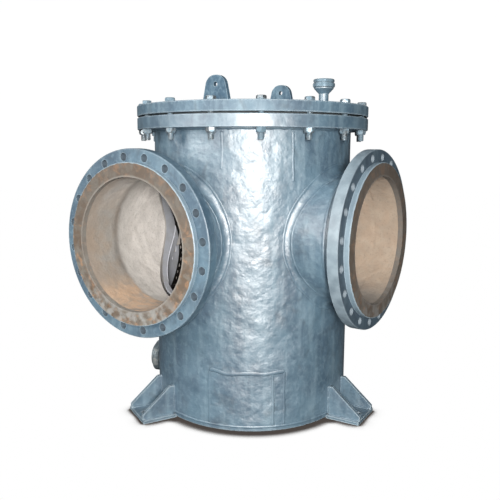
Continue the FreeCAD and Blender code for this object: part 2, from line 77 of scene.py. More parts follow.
WALL = 0.010
INSIDE_DRUM = DRUM - WALL / 2
INSIDE_NECK = NECK - WALL / 2
BOLT_CIRCLE = 0.2825
BOLT_HOLE = 0.013
COVER_BOLTS = 16
COVER_BOLT_CIRCLE = 0.4065
COVER_BOLT_PHASE = math.radians(14)
BOLT_FLATS = 0.015
BOLT_SHANK = 0.010
VENT_PIPE = 0.017
DRAIN_PIPE = 0.038
ROOT_BLEND = 0.028
FOOT_TURN = 2.5
FOOT_REACH = 0.482
GUSSET_OUTER = 0.065
GUSSET_INNER = 0.053
SHEET = 0.003
ENTRY = 0.210

# The screen's round area without holes, beside the entry and only where x is below the limit.
BLANK_Y, BLANK_Z, BLANK_RADIUS, BLANK_LIMIT = -0.220, 0.570, 0.168, -0.20

# The axis that runs through a nozzle flange, by the level axis across it.
THROUGH = {"x": "y", "y": "x"}


# ---- shader helper -----------------------------------------------------------

# Places of a mix node's colour sockets, which share their names with its other sockets.
MIX_FIRST, MIX_SECOND, MIX_RESULT = 6, 7, 2


class Shader:
    """A node material under construction, with positions in metres from the part's origin."""

    def __init__(self, name):
        self.material = bpy.data.materials.new(name)
        self.material.use_nodes = True
        self.tree = self.material.node_tree
        self.surface = self.tree.nodes["Principled BSDF"]
        self.place = self.tree.nodes.new("ShaderNodeTexCoord").outputs["Object"]
        axes = self.add("ShaderNodeSeparateXYZ", Vector=self.place)
        self.x, self.y, self.z = axes.outputs[0], axes.outputs[1], axes.outputs[2]

    def add(self, kind, **inputs):
        item = self.tree.nodes.new(kind)
        for name, value in inputs.items():
            self.feed(item.inputs[name.replace("_", " ")], value)
        return item

    def feed(self, socket, value):
        if isinstance(value, bpy.types.NodeSocket):
            self.tree.links.new(value, socket)
        else:
            socket.default_value = value

    def math(self, operation, first, second=0.0):
        item = self.tree.nodes.new("ShaderNodeMath")
        item.operation = operation
        self.feed(item.inputs[0], first)
        self.feed(item.inputs[1], second)
        return item.outputs[0]

    def distance(self, first, second):
        squares = [self.math("MULTIPLY", value, value) for value in (first, second)]
        return self.math("SQRT", self.math("ADD", *squares))

    def both(self, first, second):
        return self.math("MULTIPLY", first, second)

    def either(self, first, second):
        return self.math("MAXIMUM", first, second)

    def noise(self, scale, detail=4.0, stretch=(1, 1, 1), distortion=0.0):
        """Noise from 0 to 1 about 0.5. Scale counts features per metre."""
        mapping = self.add("ShaderNodeMapping", Vector=self.place, Scale=stretch)
        item = self.add("ShaderNodeTexNoise", Vector=mapping.outputs[0], Scale=scale,
                        Detail=detail, Distortion=distortion)
        return item.outputs[0]

    def ramp(self, value, low, high):
        """0 below low, 1 above high and smooth between; low may be above high."""
        item = self.add("ShaderNodeMapRange", Value=value, From_Min=low, From_Max=high)
        item.interpolation_type = "SMOOTHSTEP"
        return item.outputs[0]

    def span(self, value, low, high):
        """A 0 to 1 value spread over another range."""
        item = self.add("ShaderNodeMapRange", Value=value, To_Min=low, To_Max=high)
        return item.outputs[0]

    def mix(self, factor, first, second):
        item = self.tree.nodes.new("ShaderNodeMix")
        item.data_type = "RGBA"
        self.feed(item.inputs[0], factor)
        self.feed(item.inputs[MIX_FIRST], first)
        self.feed(item.inputs[MIX_SECOND], second)
        return item.outputs[MIX_RESULT]

    def edges(self, radius):
        """1 along outside edges and inside corners within that radius."""
        rounded = self.add("ShaderNodeBevel", Radius=radius)
        rounded.samples = 4
        flat = self.tree.nodes.new("ShaderNodeNewGeometry").outputs["Normal"]
        dot = self.tree.nodes.new("ShaderNodeVectorMath")
        dot.operation = "DOT_PRODUCT"
        self.feed(dot.inputs[0], rounded.outputs[0])
        self.feed(dot.inputs[1], flat)
        return self.ramp(dot.outputs["Value"], 0.995, 0.93)

    def crevices(self, reach):
        """1 deep in corners, gaps and holes narrower than that reach."""
        shade = self.add("ShaderNodeAmbientOcclusion", Distance=reach)
        shade.samples = 8
        return self.ramp(shade.outputs["AO"], 0.62, 0.12)

    def relief(self, *layers):
        """Bump from (height, depth in metres) layers, the broadest first."""
        normal = None
        for height, depth in layers:
            item = self.add("ShaderNodeBump", Height=height, Distance=depth)
            if normal is not None:
                self.feed(item.inputs["Normal"], normal)
            normal = item.outputs[0]
        self.feed(self.surface.inputs["Normal"], normal)

    def finish(self, colour, roughness, metallic=0.0, specular=0.5, ior=1.5):
        self.surface.inputs["IOR"].default_value = ior
        self.feed(self.surface.inputs["Base Color"], colour)
        self.feed(self.surface.inputs["Roughness"], roughness)
        self.feed(self.surface.inputs["Metallic"], metallic)
        self.feed(self.surface.inputs["Specular IOR Level"], specular)
        return self.material


def colour(red, green, blue):
    return (red, green, blue, 1.0)


# ---- materials ---------------------------------------------------------------

ENAMEL_DEEP = colour(0.052, 0.106, 0.160)
ENAMEL = colour(0.100, 0.182, 0.248)
ENAMEL_PALE = colour(0.240, 0.350, 0.420)
# Worn tone, also used as painted highlight on edges and rims.
ENAMEL_WORN_AND_LIT = colour(0.480, 0.580, 0.640)
# Grime tone, also used as painted shade in corners and on the shaded outlet flange.
ENAMEL_GRIME_AND_SHADE = colour(0.024, 0.036, 0.052)
ENAMEL_IOR = 2.0
DULL_IOR = 1.7
SCALE_PALE = colour(0.760, 0.715, 0.670)
SCALE_DULL = colour(0.630, 0.590, 0.550)
SCALE_GREY = colour(0.310, 0.295, 0.270)
SCALE_TAN = colour(0.310, 0.255, 0.200)
SCALE_DARK = colour(0.085, 0.068, 0.055)
RUST = colour(0.360, 0.200, 0.105)
FACE_BROWN = colour(0.120, 0.080, 0.050)
FACE_GREY = colour(0.175, 0.155, 0.128)
ZINC = colour(0.380, 0.415, 0.435)
ZINC_DARK = colour(0.150, 0.180, 0.205)
STEEL = colour(0.120, 0.150, 0.168)
STEEL_STAIN = colour(0.210, 0.225, 0.225)
# Pale tone for hole walls: painted light.
HOLE_WALL_LIGHT = colour(0.520, 0.600, 0.660)
MOUTH_BROWN = colour(0.300, 0.215, 0.145)
FLOOR_RUST = colour(0.560, 0.360, 0.215)
OUTLET_TAN = colour(0.430, 0.330, 0.240)
OUTLET_BROWN = colour(0.350, 0.265, 0.190)
OUTLET_SILT = colour(0.150, 0.140, 0.125)
SCUFF = colour(0.350, 0.355, 0.345)
COLLAR_SHEET = colour(0.450, 0.465, 0.510)
PLAIN_SHEET = colour(0.640, 0.660, 0.720)
# Near-black screen tones: painted shade inside the basket.
SCREEN_SHADE_BLACK = colour(0.008, 0.008, 0.009)
SCREEN_SHADE_BROWN = colour(0.022, 0.017, 0.013)
RUBBER = colour(0.040, 0.046, 0.050)
RUBBER_WORN = colour(0.095, 0.105, 0.110)


def enamel_colour(s, edge_share=0.6, edge_width=0.005):
    """Blue-grey enamel: soft patches, upright streaks, grime patches, painted shade in corners, and
    edges paler as wear and painted highlight.
    """
    patches = s.ramp(s.noise(9, 6), 0.36, 0.66)
    streaks = s.ramp(s.noise(34, 4, stretch=(1, 1, 0.10)), 0.45, 0.72)
    mottle = s.ramp(s.noise(70, 5, distortion=0.6), 0.46, 0.70)
    shade = s.mix(patches, ENAMEL_DEEP, ENAMEL)
    shade = s.mix(s.both(streaks, 0.42), shade, ENAMEL_PALE)
    shade = s.mix(s.both(mottle, 0.28), shade, ENAMEL_PALE)
    grime_and_shade = s.both(s.ramp(s.noise(16, 6, distortion=1.0), 0.54, 0.74), 0.35)
    # Grime patches, and painted shade from occlusion in corners, gaps and holes, darken towards the
    # grime-and-shade tone.
    shade = s.mix(s.either(grime_and_shade, s.both(s.crevices(0.035), 0.85)), shade, ENAMEL_GRIME_AND_SHADE)
    if edge_share:
        # Edges lighten as wear and as a painted highlight.
        shade = s.mix(s.both(s.edges(edge_width), edge_share), shade, ENAMEL_WORN_AND_LIT)
    return shade


def enamel_relief(s, depth=1.0):
    """Broad dents to fine grain; depth scales all but the grain."""
    s.relief((s.noise(12, 2), 0.0075 * depth), (s.noise(34, 3), 0.0032 * depth),
             (s.noise(110, 3), 0.0006 * depth), (s.noise(620, 2), 0.00006))


def enamel_gloss(s, low=0.42, high=0.60):
    return s.span(s.noise(24, 5), low, high)


def enamel(name, depth=1.0, edge_share=0.5, edge_width=0.005):
    s = Shader(name)
    enamel_relief(s, depth)
    shade = enamel_colour(s, edge_share, edge_width)
    return s.finish(shade, enamel_gloss(s), specular=0.9, ior=ENAMEL_IOR)


def matt_enamel(name):
    s = Shader(name)
    enamel_relief(s, 0.45)
    return s.finish(enamel_colour(s, 0.35), enamel_gloss(s, 0.62, 0.78))


def from_nozzle_axis(s, node, across):
    """Distance from the axis of a flange or facing; across is the level axis across it."""
    centre = middle(node)["xyz".index(across)]
    sideways = s.math("SUBTRACT", getattr(s, across), centre)
    return s.distance(sideways, s.math("SUBTRACT", s.z, NOZZLE_Z))


def flange_material(nozzle, across, hole_share, rim_share, grime_and_shade):
    """Flange plate: dull drilled face with grime and painted shade, glossier rim paler as wear and
    painted highlight, hole walls paler as painted light.
    """
    s = Shader(nozzle + "_flange_finish")
    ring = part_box(nozzle + "_flange")
    edge = (ring[1].z - ring[0].z) / 2
    radius = from_nozzle_axis(s, nozzle + "_flange", across)
    off_circle = s.math("ABSOLUTE", s.math("SUBTRACT", radius, BOLT_CIRCLE))
    geometry = s.tree.nodes.new("ShaderNodeNewGeometry")
    normal = s.add("ShaderNodeSeparateXYZ", Vector=geometry.outputs["True Normal"])
    through = s.math("ABSOLUTE", normal.outputs["xyz".index(THROUGH[across])])
    wall = s.ramp(off_circle, BOLT_HOLE + 0.002, BOLT_HOLE + 0.001)
    wall = s.both(wall, s.ramp(through, 0.5, 0.4))
    rim = s.ramp(radius, edge - 0.0022, edge - 0.0008)
    # The grime share darkens the face as grime and painted shade; the outlet's flange takes the heavier
    # share as painted shade.
    shade = s.mix(grime_and_shade, enamel_colour(s, 0.35), ENAMEL_GRIME_AND_SHADE)
    # The rim pales as wear and as a painted highlight, most on the outlet's flange.
    worn_and_lit = s.span(s.ramp(s.noise(26, 5), 0.34, 0.66), rim_share * 0.6, rim_share)
    shade = s.mix(s.both(rim, worn_and_lit), shade, ENAMEL_WORN_AND_LIT)
    # Hole walls are painted pale as painted light, most in the outlet's flange.
    shade = s.mix(s.both(wall, hole_share), shade, HOLE_WALL_LIGHT)
    enamel_relief(s, 0.45)
    gloss = s.math("SUBTRACT", enamel_gloss(s, 0.62, 0.76), s.both(rim, 0.22))
    return s.finish(shade, gloss, specular=0.7, ior=DULL_IOR)


def scale_colour(s, rusty, first=SCALE_GREY, second=SCALE_TAN):
    """Bare plate: two tones in soft stains, fine specks, and rust where rusty is high."""
    stains = s.ramp(s.noise(11, 6, distortion=0.8), 0.36, 0.68)
    shade = s.mix(stains, first, second)
    specks = s.ramp(s.noise(150, 5), 0.52, 0.74)
    shade = s.mix(s.both(specks, 0.30), shade, SCALE_DARK)
    bloom = s.ramp(s.noise(26, 6, distortion=0.8), 0.34, 0.66)
    return s.mix(s.both(bloom, rusty), shade, RUST)


def shell_material():
    """Enamel outside; bare scale inside the drum and both nozzles."""
    s = Shader("shell_plate")
    from_drum = s.distance(s.x, s.y)
    up = s.math("SUBTRACT", s.z, NOZZLE_Z)
    from_inlet = s.distance(s.math("SUBTRACT", s.x, INLET_X), up)
    from_outlet = s.distance(s.y, up)
    in_drum = s.math("LESS_THAN", from_drum, INSIDE_DRUM)
    in_inlet = s.both(s.math("LESS_THAN", from_inlet, INSIDE_NECK), s.math("LESS_THAN", s.y, 0))
    in_outlet = s.both(s.math("LESS_THAN", from_outlet, INSIDE_NECK), s.math("GREATER_THAN", s.x, 0))
    inside = s.either(s.either(in_drum, in_inlet), in_outlet)
    plate = s.mix(in_outlet, inlet_scale(s), outlet_scale(s, up))
    shade = s.mix(inside, enamel_colour(s), plate)
    enamel_relief(s)
    gloss = s.math("ADD", enamel_gloss(s), s.both(inside, 0.40))
    return s.finish(shade, gloss, specular=0.9, ior=ENAMEL_IOR)


def inlet_scale(s):
    """Brown inlet pipe, paler towards its roof as painted light, a dark seam with painted shadow along
    it, then the pale branch and drum; rust on the pipe's floor.
    """
    depth = s.math("SUBTRACT", s.y, INLET_SEAM)
    ragged = s.both(s.math("SUBTRACT", s.noise(18, 4), 0.5), 0.020)
    past_seam = s.ramp(s.math("ADD", depth, ragged), -0.004, 0.020)
    # The pipe's upper inside is painted paler as painted light.
    painted_roof_light = s.ramp(s.z, NOZZLE_Z + 0.06, NOZZLE_Z + 0.20)
    pipe = s.mix(s.both(painted_roof_light, 0.6), scale_colour(s, 0.10), SCALE_DULL)
    mouth = s.ramp(s.math("ADD", s.y, s.both(s.noise(24, 4), 0.03)),
                   INLET_BACK + 0.035, INLET_BACK - 0.005)
    pipe = s.mix(s.both(mouth, 0.55), pipe, MOUTH_BROWN)
    branch = scale_colour(s, 0.04, SCALE_PALE, SCALE_DULL)
    fresh = s.ramp(s.math("ADD", depth, ragged), 0.0, 0.13)
    branch = s.mix(s.both(s.math("SUBTRACT", 1.0, fresh), 0.60), branch, SCALE_GREY)
    shade = s.mix(past_seam, pipe, branch)
    floor = s.ramp(s.z, NOZZLE_Z - 0.125, NOZZLE_Z - 0.195)
    rust = s.both(floor, s.ramp(s.noise(20, 5, distortion=0.6), 0.28, 0.60))
    shade = s.mix(s.both(rust, s.ramp(past_seam, 1.0, 0.2)), shade, FLOOR_RUST)
    # A dark band along the inner seam: the seam's dark joint and a painted shadow at its step, left off
    # the floor.
    seam = s.ramp(s.math("ABSOLUTE", s.math("ADD", depth, ragged)), 0.026, 0.002)
    seam = s.both(seam, s.ramp(s.z, NOZZLE_Z - 0.19, NOZZLE_Z - 0.10))
    return s.mix(s.both(seam, 0.45), shade, SCALE_DARK)


def outlet_scale(s, up):
    """Tan outlet, darker and greyer towards its floor."""
    shade = scale_colour(s, 0.22, OUTLET_TAN, OUTLET_BROWN)
    low = s.ramp(s.math("ADD", up, s.both(s.noise(22, 5), 0.08)), -0.11, -0.19)
    return s.mix(s.both(low, 0.75), shade, OUTLET_SILT)


def facing_material(nozzle, across, grime_and_shade):
    """Facing ring: bare turned face, rusted, darker above and scuffed below, with grime and painted
    shade by its share; enamel on its rim, paler as a painted highlight.
    """
    s = Shader(nozzle + "_facing_finish")
    radius = from_nozzle_axis(s, nozzle + "_facing", across)
    ragged = s.both(s.math("SUBTRACT", s.noise(60, 4), 0.5), 0.006)
    painted = s.ramp(s.math("ADD", radius, ragged), FACING_EDGE - 0.0035, FACING_EDGE - 0.0015)
    lip = s.ramp(radius, NECK - 0.002, NECK - 0.009)
    shade = s.mix(s.ramp(s.noise(28, 6, distortion=0.5), 0.36, 0.64), FACE_BROWN, FACE_GREY)
    shade = s.mix(s.both(s.ramp(s.noise(36, 6, distortion=0.8), 0.50, 0.68), 0.65), shade, RUST)
    shade = s.mix(s.both(s.ramp(s.noise(75, 6), 0.50, 0.70), 0.55), shade, SCALE_DARK)
    scuffs = s.both(s.ramp(s.z, NOZZLE_Z - 0.10, NOZZLE_Z - 0.24), s.ramp(s.noise(34, 6), 0.40, 0.60))
    shade = s.mix(s.both(scuffs, 0.65), shade, SCUFF)
    top = s.ramp(s.z, NOZZLE_Z - 0.10, NOZZLE_Z + 0.22)
    shade = s.mix(s.both(top, 0.48), shade, SCALE_DARK)
    shade = s.mix(s.both(lip, 0.50), shade, SCALE_GREY)
    # The grime share darkens the whole ring as grime and painted shade, heavier on the outlet's ring.
    shade = s.mix(grime_and_shade, shade, SCALE_DARK)
    # The rim's enamel is mixed paler as a painted highlight.
    shade = s.mix(painted, shade, s.mix(0.35, enamel_colour(s), ENAMEL_WORN_AND_LIT))
    s.relief((s.noise(50, 4), 0.0016), (s.noise(260, 4), 0.0006))
    return s.finish(shade, s.span(painted, 0.75, 0.46), specular=0.6, ior=DULL_IOR)


def zinc_material(name, bare=1.0):
    """Zinc plate under patchy enamel overspray; bare, 0 to 1, is how clean its gaps are."""
    s = Shader(name)
    spray = s.ramp(s.math("ADD", s.noise(60, 5), s.both(s.noise(5, 1), 1.6)), 1.10, 1.45)
    spray = s.math("SUBTRACT", 1.0, s.both(s.math("SUBTRACT", 1.0, spray), bare))
    dull = s.ramp(s.noise(210, 4), 0.45, 0.68)
    shade = s.mix(dull, ZINC, ZINC_DARK)
    shade = s.mix(s.both(spray, 0.85), shade, s.mix(0.35, ENAMEL, ENAMEL_PALE))
    shade = s.mix(s.both(s.edges(0.0015), 0.35), shade, ZINC)
    s.relief((s.noise(340, 3), 0.0003))
    gloss = s.span(s.noise(130, 3), 0.34, 0.56)
    return s.finish(shade, gloss, metallic=s.span(spray, 0.85, 0.15))


def cap_steel_material():
    """Dark bare steel with paler, duller stains and a trace of rust."""
    s = Shader("cap_steel")
    stains = s.ramp(s.noise(40, 6, distortion=0.7), 0.42, 0.66)
    shade = s.mix(stains, STEEL, STEEL_STAIN)
    shade = s.mix(s.both(s.ramp(s.noise(90, 5), 0.52, 0.70), 0.08), shade, RUST)
    s.relief((s.noise(400, 3, stretch=(1, 1, 0.3)), 0.0002), (s.noise(70, 3), 0.0005))
    return s.finish(shade, s.span(stains, 0.40, 0.66), metallic=s.span(stains, 0.35, 0.1))


def sheet_colour(s, tone):
    """Plain sheet of that tone with faint grey stains."""
    stains = s.ramp(s.noise(22, 5, distortion=0.5), 0.40, 0.68)
    return s.mix(s.both(stains, 0.3), tone, SCALE_GREY)


def collar_material():
    """Smooth grey sheet of the basket's collar, rim and handle."""
    s = Shader("collar_sheet")
    s.relief((s.noise(60, 3), 0.0006), (s.noise(400, 3), 0.00015))
    return s.finish(sheet_colour(s, COLLAR_SHEET), s.span(s.noise(22, 5), 0.50, 0.70))


def screen_material():
    """Screen sheet near black as painted shade inside the basket, with the round plain area beside the
    entry kept clean and pale.
    """
    s = Shader("screen_steel")
    across = s.math("SUBTRACT", s.y, BLANK_Y)
    radius = s.distance(across, s.math("SUBTRACT", s.z, BLANK_Z))
    plain = s.ramp(radius, BLANK_RADIUS + 0.001, BLANK_RADIUS - 0.001)
    plain = s.both(plain, s.ramp(s.x, BLANK_LIMIT, BLANK_LIMIT - 0.02))
    # The perforated sheet is painted near black, with browner stains, as painted shade.
    dark = s.mix(s.ramp(s.noise(40, 6), 0.42, 0.66), SCREEN_SHADE_BLACK, SCREEN_SHADE_BROWN)
    s.relief((s.noise(400, 3, stretch=(1, 1, 0.3)), 0.0002))
    shade = s.mix(plain, dark, sheet_colour(s, PLAIN_SHEET))
    return s.finish(shade, s.span(s.noise(60, 4), 0.50, 0.70))


def rubber_material():
    s = Shader("seal_rubber")
    shade = s.mix(s.noise(120, 4), RUBBER, RUBBER_WORN)
    s.relief((s.noise(500, 3), 0.0002))
    return s.finish(shade, s.span(s.noise(60, 3), 0.60, 0.85))


def cover_material():
    """Enamel above; bare scale on the underside, where it closes the drum."""
    s = Shader("cover_plate_finish")
    inner = s.math("LESS_THAN", s.distance(s.x, s.y), DRUM)
    under = s.both(inner, s.math("LESS_THAN", s.z, COVER_LOW + 0.001))
    shade = s.mix(under, enamel_colour(s), scale_colour(s, 0.4))
    enamel_relief(s, 0.6)
    return s.finish(shade, enamel_gloss(s, 0.58, 0.74), specular=0.8, ior=DULL_IOR)


def floor_plate_material():
    """Bottom plate: scale and silt on its upper face, enamel below and round it."""
    s = Shader("bottom_plate_finish")
    above = s.both(s.math("GREATER_THAN", s.z, DRUM_FOOT - 0.001),
                   s.math("LESS_THAN", s.distance(s.x, s.y), INSIDE_DRUM))
    shade = s.mix(above, enamel_colour(s), scale_colour(s, 0.8))
    enamel_relief(s, 0.6)
    return s.finish(shade, enamel_gloss(s), specular=0.9, ior=ENAMEL_IOR)


# ---- mesh helpers --------------------------------------------------------------

def add_piece(name, mesh, material, body, smooth=True, sharp_angle=None):
    """Turns a bmesh into an object that rides on a body of the frame."""
    bmesh.ops.recalc_face_normals(mesh, faces=mesh.faces)
    data = bpy.data.meshes.new(name)
    for face in mesh.faces:
        face.smooth = smooth
    if sharp_angle is not None:
        for edge in mesh.edges:
            if edge.is_manifold and edge.calc_face_angle() > sharp_angle:
                edge.smooth = False
    mesh.to_mesh(data)
    mesh.free()
    data.materials.append(material)
    item = bpy.data.objects.new(name, data)
    bpy.context.scene.collection.objects.link(item)
    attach(item, body)
    return item


def bridge(mesh, first, second):
    """Faces between two rings with as many points each."""
    count = len(first)
    for index in range(count):
        after = (index + 1) % count
        mesh.faces.new((first[index], first[after], second[after], second[index]))


def lathe(mesh, stations, steps, turn, sides):
    """Rings about Z from (height, radius, flats) stations, with end caps.

    flats is the half width across the flats of a prism with that many sides:
    a ring's radius is the smaller of the radius and the prism's, so a nut's
    corners are turned off where its radius is the smaller one."""
    rings = []
    for height, radius, flats in stations:
        ring = []
        for step in range(steps):
            angle = 2 * math.pi * step / steps
            reach = radius
            if flats:
                half = math.pi / sides
                reach = min(reach, flats / math.cos((angle + half) % (2 * half) - half))
            point = Vector((reach * math.cos(angle), reach * math.sin(angle), height))
            ring.append(mesh.verts.new(turn @ point))
        rings.append(ring)
    for first, second in zip(rings, rings[1:]):
        bridge(mesh, first, second)
    mesh.faces.new(rings[0])
    mesh.faces.new(rings[-1])


def circle(centre, first, second, radius, step=0.003):
    """Points and outward directions round a circle."""
    count = int(2 * math.pi * radius / step)
    points, outward = [], []
    for index in range(count):
        angle = 2 * math.pi * index / count
        direction = first * math.cos(angle) + second * math.sin(angle)
        points.append(centre + direction * radius)
        outward.append(direction)
    return points, outward


def straight(start, end, outward, step=0.003):
    """Points and outward directions along a straight line."""
    count = max(2, int((end - start).length / step))
    points = [start.lerp(end, index / count) for index in range(count + 1)]
    return points, [outward.normalized()] * len(points)


def bead(mesh, path, width, height, closed, lean=0.0, seed=0.0, drift=0.0):
    """Weld bead of overlapping ripples along a path, width and height being half sizes.

    lean tilts each section's outward direction, for a bead in a corner, seed
    picks its unevenness, and drift is how far it wanders off its path."""
    points, outward = path
    count, sides, pitch, travel = len(points), 8, 0.0085, 0.0
    rings = []
    for index, point in enumerate(points):
        if closed:
            along = points[(index + 1) % count] - points[index - 1]
        else:
            along = points[min(index + 1, count - 1)] - points[max(index - 1, 0)]
        along.normalize()
        up = outward[index].copy()
        across = along.cross(up).normalized()
        if lean:
            up = (up * math.cos(lean) + across * math.sin(lean)).normalized()
            across = along.cross(up).normalized()
        wobble = noise.noise(point * 55 + Vector((seed, 0, 0)))
        ripple = 1 - 0.16 * ((travel / pitch + 0.3 * wobble) % 1.0)
        swell = ripple * (1 + 0.22 * wobble)
        point = point + across * (drift * 2 * noise.noise(point * 16 + Vector((0, seed, 0))))
        ring = []
        for side in range(sides):
            angle = 2 * math.pi * side / sides
            offset = across * (math.cos(angle) * width * swell)
            offset += up * (math.sin(angle) * height * swell)
            ring.append(mesh.verts.new(point + offset))
        rings.append(ring)
        if index + 1 < count:
            travel += (points[index + 1] - points[index]).length
    for first, second in zip(rings, rings[1:]):
        bridge(mesh, first, second)
    if closed:
        bridge(mesh, rings[-1], rings[0])
    else:
        mesh.faces.new(rings[0])
        mesh.faces.new(rings[-1])


# ---- welds -----------------------------------------------------------------------

X, Y, Z = Vector((1, 0, 0)), Vector((0, 1, 0)), Vector((0, 0, 1))
CORNER_WELD = {"width": 0.0065, "height": 0.0065, "closed": True, "lean": math.radians(45)}
ROOT_TOE = {"height": 0.0014, "closed": True, "drift": 0.0015}
NECK_SEAM = {"width": 0.006, "height": 0.0022, "closed": True}
BOTTOM_SEAM = {"width": 0.005, "height": 0.0018, "closed": True, "seed": 2.2}
PATCH_TOP_SEAM = {"width": 0.0080, "height": 0.0013, "closed": False, "drift": 0.006}
PATCH_SIDE_SEAM = {"width": 0.0050, "height": 0.0007, "closed": False, "drift": 0.002}
DRUM_SEAM = {"width": 0.0050, "height": 0.0009, "closed": False, "drift": 0.002}
FOOT_WELD = {"width": 0.004, "height": 0.004, "closed": False}
LUG_WELD = {"width": 0.0045, "height": 0.0045, "closed": False}
VENT_WELD = {"width": 0.004, "height": 0.004, "closed": True}
DRAIN_WELD = {"width": 0.005, "height": 0.005, "closed": True}

# Patch plate low on the drum, and the drum's upright seams as (angle, lower end). Angles in degrees.
PATCH_LOW, PATCH_HIGH = 0.024, 0.213
PATCH_LEFT, PATCH_RIGHT = -80.7, -39.4
PATCH_MIDDLE = PATCH_LEFT + 35
DRUM_SEAMS = ((-73, 0.90), (-36, 0.86), (96, 0.03))
DRUM_SEAM_END = FLANGE_LOW - 0.012


def on_drum(angle, height, radius=DRUM):
    return Vector((radius * math.cos(angle), radius * math.sin(angle), height))


def drum_arc(start, end, height, step=0.003):
    """Level path on the drum between two angles in degrees."""
    count = int(math.radians(end - start) * DRUM / step)
    angles = [math.radians(start + (end - start) * index / count) for index in range(count + 1)]
    return ([on_drum(angle, height) for angle in angles], [on_drum(angle, 0, 1) for angle in angles])


def drum_rise(angle, low, high):
    """Upright path on the drum at an angle in degrees."""
    turn = math.radians(angle)
    return straight(on_drum(turn, low), on_drum(turn, high), on_drum(turn, 0, 1))


def weld(name, material, beads, body="casing"):
    """One painted piece made of (path, shape) beads, a shape being bead's other values."""
    mesh = bmesh.new()
    for path, shape in beads:
        bead(mesh, path, **shape)
    add_piece(name, mesh, material, body)


def flange_welds(material):
    """Corner beads where each nozzle flange meets its neck and the body flange the drum."""
    inlet = circle(Vector((INLET_X, INLET_BACK, NOZZLE_Z)), X, Z, NECK)
    outlet = circle(Vector((OUTLET_BACK, 0, NOZZLE_Z)), Y, Z, NECK)
    body = circle(Vector((0, 0, FLANGE_LOW)), X, Y, DRUM)
    for name, path, seed in (("inlet", inlet, 0.0), ("outlet", outlet, 3.1), ("body", body, 5.7)):
        weld(name + "_flange_weld", material, [(path, {**CORNER_WELD, "seed": seed})])


def root_path(offset, across, outward, side):
    """Rolling-ball path round a branch's root, touching the drum or the branch.

    offset is how far the branch's axis lies from the drum's, and side picks
    which of the two the path lies on."""
    ball = ROOT_BLEND
    count = int(2 * math.pi * (NECK + ball) / 0.003)
    points, normals = [], []
    for index in range(count):
        angle = 2 * math.pi * index / count
        aside, up = (NECK + ball) * math.cos(angle), (NECK + ball) * math.sin(angle)
        level = across * (offset + aside)
        out = math.sqrt((DRUM + ball) ** 2 - level.length_squared)
        centre = level + outward * out
        if side == "drum":
            spot = centre * (DRUM / (DRUM + ball))
            normals.append(Vector((centre.x, centre.y, 0)).normalized())
        else:
            share = NECK / (NECK + ball)
            spot = across * (offset + aside * share) + outward * out
            up *= share
            normals.append((across * math.cos(angle) + Z * math.sin(angle)).normalized())
        points.append(Vector((spot.x, spot.y, NOZZLE_Z + up)))
    return points, normals


def root_welds(material):
    """Toe beads on both sides of each branch's blended root."""
    for name, offset, across, outward in (("inlet", INLET_X, X, -Y), ("outlet", 0.0, Y, X)):
        beads = []
        for side, width in (("drum", 0.0055), ("branch", 0.0045)):
            shape = {**ROOT_TOE, "width": width, "seed": width * 900}
            beads.append((root_path(offset, across, outward, side), shape))
        weld(name + "_root_welds", material, beads)


def seam_welds(material):
    """Flat seam beads: branch to neck, drum to bottom, and the drum's own seams."""
    inlet = circle(Vector((INLET_X, INLET_SEAM, NOZZLE_Z)), X, Z, NECK)
    outlet = circle(Vector((OUTLET_SEAM, 0, NOZZLE_Z)), Y, Z, NECK)
    bottom = circle(Vector((0, 0, DRUM_FOOT)), X, Y, DRUM)
    weld("inlet_neck_seam", material, [(inlet, NECK_SEAM)])
    weld("outlet_neck_seam", material, [(outlet, {**NECK_SEAM, "seed": 1.3})])
    weld("bottom_seam", material, [(bottom, BOTTOM_SEAM)])
    patch = [(drum_arc(PATCH_LEFT, PATCH_RIGHT, PATCH_HIGH), PATCH_TOP_SEAM)]
    for angle in (PATCH_LEFT, PATCH_MIDDLE, PATCH_RIGHT):
        patch.append((drum_rise(angle, PATCH_LOW, PATCH_HIGH), {**PATCH_SIDE_SEAM, "seed": angle}))
    weld("drum_patch_seams", material, patch)
    seams = []
    for angle, low in DRUM_SEAMS:
        seams.append((drum_rise(angle, low, DRUM_SEAM_END), {**DRUM_SEAM, "seed": angle}))
    weld("drum_seams", material, seams)


def foot_welds(material):
    """Beads down both faces of every gusset and along its foot plate."""
    plate_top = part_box("right_foot_plate")[1].z
    gusset_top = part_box("right_foot_gussets")[1].z
    for name, turn in (("right", 0), ("rear", 120), ("left", 240)):
        spin = Matrix.Rotation(math.radians(FOOT_TURN + turn), 3, "Z")
        beads = []
        for side in (-1, 1):
            for face, away in ((GUSSET_OUTER, 1), (GUSSET_INNER, -1)):
                y = side * face
                x = math.sqrt(DRUM ** 2 - y ** 2)
                low = Vector((x, y, plate_top + 0.003))
                high = Vector((x, y, gusset_top - 0.002))
                facing = Vector((0.7, side * away, 0))
                beads.append((straight(spin @ low, spin @ high, spin @ facing), FOOT_WELD))
                start = Vector((x + 0.004, y, plate_top))
                end = Vector((FOOT_REACH - 0.008, y, plate_top))
                upward = Vector((0, side * away, 1))
                beads.append((straight(spin @ start, spin @ end, spin @ upward), FOOT_WELD))
        weld(name + "_foot_welds", material, beads)


def cover_welds(material):
    """Beads along both feet of each lug and round the vent neck."""
    inset = 0.003
    for name in ("front", "rear"):
        low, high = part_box(name + "_lifting_lug")
        beads = []
        for y, way in ((low.y, -1), (high.y, 1)):
            start = Vector((low.x + inset, y, low.z))
            end = Vector((high.x - inset, y, low.z))
            beads.append((straight(start, end, Vector((0, way, 1))), {**LUG_WELD, "seed": y}))
        weld(name + "_lug_welds", material, beads, "cover")
    vent = circle(Vector((VENT_X, 0, COVER_HIGH)), X, Y, VENT_PIPE, step=0.002)
    weld("vent_weld", material, [(vent, VENT_WELD)], "cover")


def joint_axis(name):
    return [joint["axis"] for joint in frame["joints"] if joint["name"] == name][0]


